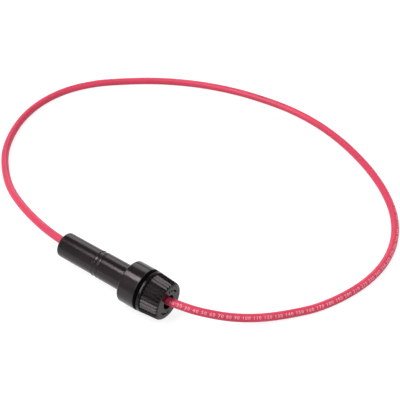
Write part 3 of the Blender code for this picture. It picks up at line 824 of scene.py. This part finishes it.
def knurl_cutter(rear, front, rear_radius, front_radius):
    """The room round the grip's ridges: a ring whose inside has the ridged outline and the grip's taper."""
    cap = settings().cap
    half = math.pi / cap.ridges
    root = rear_radius - in_mm(cap.groove_depth)
    shape = bmesh.new()
    left = shape.verts.new((rear, -root * math.sin(half), root * math.cos(half)))
    crest = shape.verts.new((rear, 0.0, rear_radius + 0.03))
    right = shape.verts.new((rear, root * math.sin(half), root * math.cos(half)))
    shape.edges.new((left, crest))
    shape.edges.new((crest, right))
    round_off(shape, [crest], in_mm(cap.crest_rounding), 4)
    spin(shape, math.tau - 2 * half, cap.ridges - 1, copies=True)
    bmesh.ops.remove_doubles(shape, verts=shape.verts, dist=1e-3)
    roots = [vertex for vertex in shape.verts if math.hypot(vertex.co.y, vertex.co.z) < root + 1e-3]
    round_off(shape, roots, in_mm(cap.root_rounding), 3)
    outside = new_points(bmesh.ops.extrude_edge_only(shape, edges=shape.edges[:])["geom"])
    bmesh.ops.scale(shape, verts=outside, vec=(1.0, 1.25, 1.25))
    ahead = thicken(shape)
    taper = front_radius / rear_radius
    bmesh.ops.scale(shape, verts=ahead, vec=(1.0, taper, taper))
    bmesh.ops.translate(shape, verts=ahead, vec=(front - rear, 0.0, 0.0))
    bmesh.ops.recalc_face_normals(shape, faces=shape.faces)
    return shape


def add_panel(name, direction, width, height, brightness, distance=1.2):
    """A soft light panel that faces the holder; width and height are the angles it fills."""
    away = Vector(direction).normalized()
    across = (Vector((1.0, 0.0, 0.0)) - away * away.x).normalized()
    lamp = bpy.data.lights.new(name, "AREA")
    lamp.shape = "RECTANGLE"
    lamp.size = 2 * distance * math.tan(math.radians(width) / 2)
    lamp.size_y = 2 * distance * math.tan(math.radians(height) / 2)
    lamp.energy = brightness * math.pi * lamp.size * lamp.size_y
    item = link(name, lamp)
    turn = Matrix((across, away.cross(across), away)).transposed().to_4x4()
    item.matrix_world = Matrix.Translation(away * distance + Vector((0.0, 0.0, AXIS_HEIGHT))) @ turn
    item.visible_camera = False


class FUSEHOLDER_OT_stage(bpy.types.Operator):
    """Make the camera, the white floor and the studio light"""

    bl_idname = "fuse_holder.stage"
    bl_label = "Stage"

    def execute(self, context):
        stage = settings().stage
        scene = bpy.context.scene
        scene.view_settings.view_transform = "Standard"
        lens = bpy.data.cameras.new("camera")
        lens.lens = stage.camera_lens
        lens.sensor_width = 36.0
        lens.clip_start = 0.01
        camera = link("camera", lens)
        camera.location = stage.camera_place
        camera.rotation_euler = stage.camera_turn
        scene.camera = camera

        ground = bmesh.new()
        bmesh.ops.create_grid(ground, x_segments=1, y_segments=1, size=stage.floor_width / 2)
        mesh = mesh_of("floor", ground)
        mesh.materials.append(floor_finish("white_floor", settings().colours.floor, stage.floor_lift))
        link("floor", mesh)

        world = bpy.data.worlds.new("room")
        room = Finish("room", world)
        seen = room.node("ShaderNodeLightPath", output="Is Camera Ray")
        passed = Signal(room, seen.socket.node.outputs["Is Transmission Ray"])
        height = room.parts(room.node("ShaderNodeTexCoord", output="Generated"))[2]
        fade = room.node(
            "ShaderNodeMapRange",
            {},
            {"Value": height, "From Max": 0.9, "To Min": stage.horizon_light, "To Max": stage.ceiling_light},
        )
        direct = seen.maths("MAXIMUM", seen, passed)
        level = room.node("ShaderNodeMapRange", {}, {"Value": direct, "To Min": fade})
        glow = room.node("ShaderNodeBackground", {}, {"Color": WHITE, "Strength": level})
        room.node("ShaderNodeOutputWorld", {}, {"Surface": glow})
        scene.world = world

        add_panel("rear_panel", (-0.56, 0.71, 0.427), 26, 27, stage.rear_panel_light)
        add_panel("top_panel", (-0.405, -0.128, 0.905), 7.6, 20.5, stage.top_panel_light)
        add_panel("tail_panel", (-0.53, -0.118, 0.84), 5.7, 7.0, stage.tail_panel_light)
        add_panel("cap_panel", (-0.27, -0.566, 0.779), 8.3, 54, stage.cap_panel_light)
        add_panel("fill_panel", (0.5, 0.12, 0.858), 30, 55, stage.fill_panel_light)
        return {"FINISHED"}


class FUSEHOLDER_OT_wire(bpy.types.Operator):
    """Make the insulated wire in one length, from the cap round the loop to the tail, with its print"""

    bl_idname = "fuse_holder.wire"
    bl_label = "Wire"

    def execute(self, context):
        wire = settings().wire
        colours = settings().colours
        path = wire_path()
        points = path.even(in_mm(wire.ring_spacing))
        shape = drawn_tube(points, in_mm(wire.diameter), wire.sides)
        jacket = add_piece("wire", shape, jacket_finish("red_jacket_skin", colours.jacket))
        letters = add_print(path)
        for piece in (jacket, letters):
            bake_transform(piece)
        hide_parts("wire_front", "wire_rear")
        [point * MM for point in points]
        return {"FINISHED"}


def add_print(path):
    """The row of plain numbers, bent round the outer side of the wire."""
    wire = settings().wire
    letters = bpy.data.curves.new("letters", "FONT")
    letters.body = wire.print_text
    letters.size = in_mm(wire.print_size)
    letters.space_character = 1.25
    letters.offset = 0.025
    letters.resolution_u = 2
    flat = link("letters", letters)
    mesh = bpy.data.meshes.new_from_object(flat.evaluated_get(bpy.context.evaluated_depsgraph_get()))
    shape = bmesh.new()
    shape.from_mesh(mesh)
    bpy.data.objects.remove(flat)
    bpy.data.curves.remove(letters)
    bpy.data.meshes.remove(mesh)
    end = in_mm(wire.print_length)
    late = [vertex for vertex in shape.verts if vertex.co.x > end]
    bmesh.ops.delete(shape, geom=late, context="VERTS")
    bmesh.ops.remove_doubles(shape, verts=shape.verts, dist=1e-4)
    top = max(vertex.co.y for vertex in shape.verts)
    cuts = 10
    for cut_number in range(1, cuts):
        bmesh.ops.bisect_plane(
            shape,
            geom=shape.verts[:] + shape.edges[:] + shape.faces[:],
            plane_co=(0.0, top * cut_number / cuts, 0.0),
            plane_no=(0.0, 1.0, 0.0),
        )
    rooted = thicken(shape)
    bmesh.ops.translate(shape, verts=rooted, vec=(0.0, 0.0, -in_mm(wire.print_depth)))
    bmesh.ops.recalc_face_normals(shape, faces=shape.faces)
    radius = in_mm(wire.diameter) / 2
    start = in_mm(wire.print_start)
    # The flat letters' height runs round the wire, and their depth runs out from its middle
    for vertex in shape.verts:
        middle, along = path.at(start + vertex.co.x)
        outward = along.cross(Vector((0.0, 0.0, 1.0))).normalized()
        upward = outward.cross(along)
        angle = wire.print_angle - (vertex.co.y - top / 2) / radius
        facing = math.cos(angle) * upward + math.sin(angle) * outward
        vertex.co = middle + (radius + in_mm(wire.print_lift) + vertex.co.z) * facing
    colours = settings().colours
    bmesh.ops.scale(shape, verts=shape.verts, vec=(MM, MM, MM))
    mesh = mesh_of("wire_print", shape)
    mesh.materials.append(ink_finish("printed_ink", colours.ink, colours.jacket))
    return link("wire_print", mesh)


class FUSEHOLDER_OT_barrel(bpy.types.Operator):
    """Make the barrel: spigot, front tube and the collar with its threaded socket"""

    bl_idname = "fuse_holder.barrel"
    bl_label = "Barrel"

    def execute(self, context):
        body = settings().body
        cap = settings().cap
        front = front_of("barrel")
        rear = rear_of("barrel")
        collar = radius_of("barrel")
        tube_rear = front_of("tail_sleeve") + SEAT_GAP
        collar_rear = tube_rear + in_mm(body.tube_length)
        floor = front - in_mm(body.socket_depth)
        bore = in_mm(body.bore) / 2
        socket = in_mm(body.socket) / 2
        spigot = in_mm(body.spigot) / 2
        shape = turned(
            [
                (front, collar, 0.2),
                (collar_rear, collar, in_mm(body.collar_rounding)),
                (collar_rear, in_mm(body.tube_front) / 2, 0.12),
                (tube_rear, in_mm(body.tube_rear) / 2, in_mm(body.tube_edge)),
                (tube_rear, spigot, 0.0),
                (rear, spigot, 0.25),
                (rear, bore, 0.15),
                (floor, bore, 0.15),
                (floor, socket, 0.15),
                (front, socket, 0.3),
            ]
        )
        crest = in_mm(cap.socket_crest) / 2
        join(shape, thread(floor + 0.9, front - 0.65, socket, crest, in_mm(cap.thread_pitch)))
        finish = moulded_finish("black_moulding_skin", settings().colours.moulding, 0.34)
        add_turned("barrel_moulding", shape, finish, "barrel", "barrel")
        return {"FINISHED"}


class FUSEHOLDER_OT_tail(bpy.types.Operator):
    """Make the tail sleeve with its rounded end, the wire's hole and the two raised beads"""

    bl_idname = "fuse_holder.tail"
    bl_label = "Tail Sleeve"

    def execute(self, context):
        body = settings().body
        front = front_of("tail_sleeve")
        rear = rear_of("tail_sleeve")
        front_radius = in_mm(body.tail_front) / 2
        rear_radius = in_mm(body.tail_rear) / 2
        taper = (front_radius - rear_radius) / (front - rear)
        high = in_mm(body.bead_height)
        half = in_mm(body.bead_width) / 2
        rim = front + 0.22  # the looks close most of the seam that the solids leave before the tube
        corners = [(rim, front_radius, 0.12)]
        for number in range(2):
            place = front - in_mm(body.bead_setback) - number * in_mm(body.bead_spacing)
            skin = front_radius - taper * (front - place)
            corners += [
                (place + half, skin, 0.05),
                (place + 0.7 * half, skin + high, 0.16),
                (place - 0.7 * half, skin + high, 0.16),
                (place - half, skin, 0.05),
            ]
        hole = in_mm(body.tail_hole) / 2
        pocket = in_mm(body.tail_pocket) / 2
        seat = in_mm(body.contact_seat) / 2
        hole_end = rear + 2.5
        seat_end = rear_of("rear_contact") + 4.45
        seat_front = front_of("rear_contact")
        socket = in_mm(body.spigot) / 2 + SNUG_GAP
        corners += [
            (rear, rear_radius, in_mm(body.tail_rounding)),
            (rear, hole, 0.3),
            (hole_end, hole, 0.1),
            (hole_end, pocket, 0.1),
            (seat_end, pocket, 0.1),
            (seat_end, seat, 0.1),
            (seat_front, seat, 0.1),
            (seat_front, socket, 0.1),
            (rim, socket, 0.1),
        ]
        shape = turned(corners)
        finish = moulded_finish("tail_moulding_skin", settings().colours.moulding, 0.34)
        add_turned("tail_moulding", shape, finish, "barrel", "tail_sleeve")
        return {"FINISHED"}


class FUSEHOLDER_OT_cap(bpy.types.Operator):
    """Make the screw cap: ridged grip, flange, threaded shank, spring cavity and the wire's recess"""

    bl_idname = "fuse_holder.cap"
    bl_label = "Screw Cap"

    def execute(self, context):
        cap = settings().cap
        face = front_of("cap")
        shank_rear = rear_of("cap")
        flange = radius_of("cap")
        flange_rear = front_of("sealing_ring") + SEAT_GAP
        flange_front = flange_rear + in_mm(cap.flange_width)
        grip_rear = flange_front + in_mm(cap.neck_width)
        rear_radius = in_mm(cap.grip_rear) / 2
        front_radius = in_mm(cap.grip_front) / 2
        neck = rear_radius - in_mm(cap.neck_depth)
        shank = in_mm(cap.shank) / 2
        land = in_mm(cap.ring_bore) / 2 - SNUG_GAP
        land_end = flange_rear - 1.35
        chamfer = 0.2
        cavity = in_mm(cap.cavity) / 2
        hole = in_mm(cap.wire_hole) / 2
        recess = in_mm(cap.recess) / 2
        recess_floor = face - in_mm(cap.recess_depth)
        cavity_end = face - in_mm(cap.face_wall)
        shape = turned(
            [
                (face, front_radius, in_mm(cap.grip_rounding)),
                (grip_rear, rear_radius, 0.06),
                (grip_rear, neck, 0.0),
                (flange_front, neck, 0.0),
                (flange_front, flange - 0.13, in_mm(cap.flange_rounding)),
                (flange_rear, flange, in_mm(cap.flange_rounding)),
                (flange_rear, land, 0.1),
                (land_end, land, 0.0),
                (land_end - chamfer, shank, 0.0),
                (shank_rear, shank, 0.3),
                (shank_rear, cavity, 0.15),
                (cavity_end, cavity, 0.1),
                (cavity_end, hole, 0.06),
                (recess_floor, hole, 0.15),
                (recess_floor, recess, 0.15),
                (face, recess, 0.25),
            ],
            4 * cap.ridges,
        )
        cutter = knurl_cutter(grip_rear - 0.1, face + 0.4, rear_radius, front_radius)
        mark = in_mm(cap.mark_radius)
        width = in_mm(cap.mark_width)
        deep = face - in_mm(cap.mark_depth)
        for side in (math.radians(-45), math.radians(135)):
            start = side - cap.mark_sweep / 2
            join(cutter, arc_bar(deep, face + 0.3, mark - width / 2, mark + width / 2, start, cap.mark_sweep))
            tick = start + cap.mark_sweep + math.radians(11)
            join(cutter, bar((face + 0.3 - deep, width, 1.1), ((face + 0.3 + deep) / 2, 0.0, mark), tick))
        shape = cut(shape, cutter)
        crest = in_mm(cap.thread_crest) / 2
        join(shape, thread(shank_rear + 0.75, flange_rear - 2.2, shank, crest, in_mm(cap.thread_pitch)))
        # The cap's darker black carries painted shade of the grip's grooves and the face's recess
        finish = moulded_finish("black_cap_skin", settings().colours.cap, 0.19, cap.grip_rear / 2)
        add_turned("cap_moulding", shape, finish, "cap", "cap", 32.0)
        return {"FINISHED"}


class FUSEHOLDER_OT_ring(bpy.types.Operator):
    """Make the rubber sealing ring behind the cap's flange"""

    bl_idname = "fuse_holder.ring"
    bl_label = "Sealing Ring"

    def execute(self, context):
        cap = settings().cap
        rear = rear_of("sealing_ring")
        front = front_of("sealing_ring")
        outer = radius_of("cap")
        inner = in_mm(cap.ring_bore) / 2
        rounding = in_mm(cap.ring_rounding)
        shape = turned(
            [
                (front, inner, rounding),
                (front, outer, rounding),
                ((front + rear) / 2, outer - 0.03, 0.0),
                (rear, outer, rounding),
                (rear, inner, rounding),
            ]
        )
        finish = rubber_finish("rubber_skin", settings().colours.rubber)
        add_turned("ring_rubber", shape, finish, "cap", "sealing_ring")
        return {"FINISHED"}


class FUSEHOLDER_OT_contacts(bpy.types.Operator):
    """Make the two brass contacts with their slotted cups and crimped barrels"""

    bl_idname = "fuse_holder.contacts"
    bl_label = "Contacts"

    def execute(self, context):
        inside = settings().inside
        finish = turned_metal_finish("brass_skin", settings().colours.brass, 0.22, 0.42, 0.6)
        both = ("front", "front_lead", inside.cup_depth), ("rear", "barrel", inside.rear_cup_depth)
        for side, body, depth in both:
            node = f"{side}_contact"
            rim, tip = ends_of(node, side)
            add_contact(f"{node}_brass", rim, tip, in_mm(depth), finish, body, node)
        return {"FINISHED"}


def add_contact(name, rim, tip, depth, finish, body, node):
    """One contact, from its cup's rim to the tip of its crimp barrel."""
    inside = settings().inside
    way = 1 if tip > rim else -1
    base = rim + way * depth
    back = base + way * in_mm(inside.cup_base)
    cup = in_mm(inside.cup) / 2
    cup_bore = in_mm(inside.cup_bore) / 2
    crimp = in_mm(inside.crimp) / 2
    bore = in_mm(inside.crimp_bore) / 2
    bore_end = back + way * 0.25
    shape = turned(
        [
            (base, 0.0, 0.0),
            (base, cup_bore, 0.2),
            (rim, cup_bore, 0.1),
            (rim, cup, 0.08),
            (back, cup, 0.3),
            (back, crimp, 0.15),
            (tip, crimp, 0.12),
            (tip, bore, 0.1),
            (bore_end, bore, 0.0),
            (bore_end, 0.0, 0.0),
        ],
        96,
        4,
    )
    slot_end = rim + way * (depth - 0.5)
    slot_start = rim - way * 0.5
    width = in_mm(inside.slot_width)
    cutter = bmesh.new()
    for quarter in range(2):
        size = (abs(slot_end - slot_start), 3 * cup, width)
        middle = ((slot_end + slot_start) / 2, 0.0, 0.0)
        join(cutter, bar(size, middle, math.radians(45 + 90 * quarter)))
    flat = in_mm(inside.crimp_flat)
    run = abs(tip - back)
    for place in (0.36, 0.72):
        for sixth in range(6):
            middle = (back + way * place * run, 0.0, crimp - flat + 0.5)
            join(cutter, bar((0.22 * run, 3.0, 1.0), middle, math.radians(60 * sixth)))
    shape = cut(shape, cutter)
    add_turned(name, shape, finish, body, node)


class FUSEHOLDER_OT_fuse(bpy.types.Operator):
    """Make the small glass fuse: two caps, glass tube, element and two drops of solder"""

    bl_idname = "fuse_holder.fuse"
    bl_label = "Fuse"

    def execute(self, context):
        colours = settings().colours
        nickel = turned_metal_finish("nickel_skin", colours.nickel, 0.1, 0.26, 0.25)
        solder = solder_finish("solder_skin", colours.solder)
        for side in ("front", "rear"):
            node = f"fuse_{side}_cap"
            rim, end = ends_of(node, side)
            add_end(f"fuse_{side}_end", rim, end, nickel, node)
        for side in ("front", "rear"):
            node = f"fuse_{side}_solder"
            top, base = ends_of(node, side)
            add_drop(f"fuse_{side}_drop", base, top, solder, node)
        add_tube()
        add_element()
        return {"FINISHED"}


def add_end(name, rim, end, finish, node):
    """One end cap, drawn from thin metal, with a shallow dimple in its end."""
    inside = settings().inside
    way = 1 if end > rim else -1
    outer = in_mm(inside.fuse_cap) / 2
    bore = outer - in_mm(inside.fuse_cap_wall)
    floor = end - way * in_mm(inside.fuse_cap_end)
    dimple = end - way * 0.08
    shape = turned(
        [
            (floor, 0.0, 0.0),
            (floor, bore, 0.15),
            (rim, bore, 0.05),
            (rim, outer, 0.08),
            (end, outer, 0.4),
            (end, 1.0, 0.1),
            (dimple, 0.8, 0.1),
            (dimple, 0.0, 0.0),
        ],
        120,
        5,
    )
    add_turned(name, shape, finish, "front_lead", node)


def add_drop(name, base, top, finish, node):
    """One drop of solder, round towards the middle of the fuse."""
    radius = in_mm(settings().inside.solder) / 2
    shape = turned(
        [
            (base, 0.0, 0.0),
            (base, radius, 0.1),
            (base + 0.5 * (top - base), 0.88 * radius, 0.25),
            (top, 0.4 * radius, 0.2),
            (top, 0.0, 0.0),
        ],
        48,
    )
    add_turned(name, shape, finish, "front_lead", node, 60.0, False)


def add_tube():
    """The glass tube with fire-rounded ends."""
    inside = settings().inside
    low, high = rear_of("fuse_glass"), front_of("fuse_glass")
    outer = in_mm(inside.glass) / 2
    inner = outer - in_mm(inside.glass_wall)
    shape = turned([(low, inner, 0.2), (high, inner, 0.2), (high, outer, 0.25), (low, outer, 0.25)], 120)
    finish = glass_finish("glass_skin", settings().colours.glass)
    add_turned("fuse_tube", shape, finish, "front_lead", "fuse_glass", even=False)


def add_element():
    """The thin fuse wire between the two drops of solder."""
    inside = settings().inside
    low, high = rear_of("fuse_element"), front_of("fuse_element")
    count = 40
    height = in_mm(AXIS_HEIGHT)
    points = [Vector((low + (high - low) * step / count, 0.0, height)) for step in range(count + 1)]
    shape = drawn_tube(points, in_mm(inside.element), 12)
    finish = drawn_metal_finish("element_skin", settings().colours.steel, 0.3)
    add_piece("fuse_wire", shape, finish, "front_lead", ["fuse_element"])


class FUSEHOLDER_OT_spring(bpy.types.Operator):
    """Make the contact spring with its closed end turns, and the washer in front of it"""

    bl_idname = "fuse_holder.spring"
    bl_label = "Spring and Washer"

    def execute(self, context):
        inside = settings().inside
        colours = settings().colours
        finish = drawn_metal_finish("spring_skin", colours.steel, 0.24)
        thick = in_mm(inside.spring_wire)
        low = rear_of("contact_spring") + thick / 2
        high = front_of("contact_spring") - thick / 2
        radius = in_mm(SPRING_HIGH.z - SPRING_LOW.z - inside.spring_wire) / 2
        closed = 0.75
        turns = inside.spring_turns
        rise = closed * thick * 1.04
        points = []
        steps = round(turns * 40)
        for step in range(steps + 1):
            turn = turns * step / steps
            if turn < closed:
                along = low + rise * turn / closed
            elif turn > turns - closed:
                along = high - rise * (turns - turn) / closed
            else:
                along = low + rise + (high - low - 2 * rise) * (turn - closed) / (turns - 2 * closed)
            angle = math.tau * turn
            height = in_mm(AXIS_HEIGHT) + radius * math.cos(angle)
            points.append(Vector((along, radius * math.sin(angle), height)))
        shape = drawn_tube(points, thick, 14)
        spring = add_piece("spring_coil", shape, finish, None, ["contact_spring"], 60.0)
        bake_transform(spring)
        rear, front = rear_of("spring_washer"), front_of("spring_washer")
        outer = radius_of("spring_washer")
        inner = in_mm(inside.washer_bore) / 2
        corners = [(rear, inner, 0.06), (front, inner, 0.1), (front, outer, 0.12), (rear, outer, 0.06)]
        shape = turned(corners, 96, 4)
        blank = turned_metal_finish("washer_skin", colours.steel, 0.25, 0.45, 0.4)
        add_turned("washer_steel", shape, blank, "washer", "spring_washer")
        return {"FINISHED"}


class FUSEHOLDER_OT_conductors(bpy.types.Operator):
    """Make the stripped ends of the conductor: seven twisted copper strands in each crimp barrel"""

    bl_idname = "fuse_holder.conductors"
    bl_label = "Conductors"

    def execute(self, context):
        finish = drawn_metal_finish("copper_skin", settings().colours.copper, 0.26)
        past = 0.6  # how far the strands reach into the jacket
        low, high = rear_of("front_conductor"), front_of("front_contact") + past
        add_strands("front_strands", low, high, finish, "front_lead", "front_conductor")
        low, high = rear_of("rear_contact") - past, front_of("rear_conductor")
        add_strands("rear_strands", low, high, finish, "barrel", "rear_conductor")
        return {"FINISHED"}


def add_strands(name, low, high, finish, body, node):
    """Six strands laid round a middle one."""
    thick = in_mm(settings().inside.strand)
    lay = 11.0
    shape = bmesh.new()
    count = 24
    for strand in range(7):
        reach = 0.0 if strand == 0 else thick
        points = []
        for step in range(count + 1):
            along = low + (high - low) * step / count
            angle = math.tau * (strand / 6 + along / lay)
            height = in_mm(AXIS_HEIGHT) + reach * math.cos(angle)
            points.append(Vector((along, reach * math.sin(angle), height)))
        join(shape, drawn_tube(points, thick * 0.98, 10))
    add_piece(name, shape, finish, body, [node], 60.0)


class FUSEHOLDER_PT_sidebar(bpy.types.Panel):
    """The fuse holder's pieces and sizes"""

    bl_idname = "FUSEHOLDER_PT_sidebar"
    bl_label = "Fuse Holder"
    bl_space_type = "VIEW_3D"
    bl_region_type = "UI"
    bl_category = "Fuse Holder"

    def draw(self, context):
        layout = self.layout
        for operator in OPERATORS:
            layout.operator(operator.bl_idname)
        for group_name in ("stage", "body", "cap", "inside", "wire", "colours"):
            group = getattr(settings(), group_name)
            box = layout.box()
            box.label(text=group_name.title())
            for name in group.bl_rna.properties.keys():
                if name not in ("rna_type", "name"):
                    box.prop(group, name)


GROUPS = (
    FuseHolderStage,
    FuseHolderBody,
    FuseHolderCap,
    FuseHolderInside,
    FuseHolderWire,
    FuseHolderColours,
    FuseHolder,
)
OPERATORS = (
    FUSEHOLDER_OT_stage,
    FUSEHOLDER_OT_wire,
    FUSEHOLDER_OT_barrel,
    FUSEHOLDER_OT_tail,
    FUSEHOLDER_OT_cap,
    FUSEHOLDER_OT_ring,
    FUSEHOLDER_OT_contacts,
    FUSEHOLDER_OT_fuse,
    FUSEHOLDER_OT_spring,
    FUSEHOLDER_OT_conductors,
)


def register():
    """Registers the settings, the operators and the panel."""
    for made in (*GROUPS, *OPERATORS, FUSEHOLDER_PT_sidebar):
        bpy.utils.register_class(made)
    bpy.types.Scene.fuse_holder = PointerProperty(type=FuseHolder)


def unregister():
    """Takes the settings, the operators and the panel away again."""
    del bpy.types.Scene.fuse_holder
    for made in reversed((*GROUPS, *OPERATORS, FUSEHOLDER_PT_sidebar)):
        bpy.utils.unregister_class(made)


def main():
    """Registers the add-on, then makes the stage and every piece."""
    register()
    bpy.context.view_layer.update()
    bpy.ops.fuse_holder.stage()
    bpy.ops.fuse_holder.wire()
    bpy.ops.fuse_holder.barrel()
    bpy.ops.fuse_holder.tail()
    bpy.ops.fuse_holder.cap()
    bpy.ops.fuse_holder.ring()
    bpy.ops.fuse_holder.contacts()
    bpy.ops.fuse_holder.fuse()
    bpy.ops.fuse_holder.spring()
    bpy.ops.fuse_holder.conductors()
    bpy.context.view_layer.update()


if __name__ == "__main__":
    main()
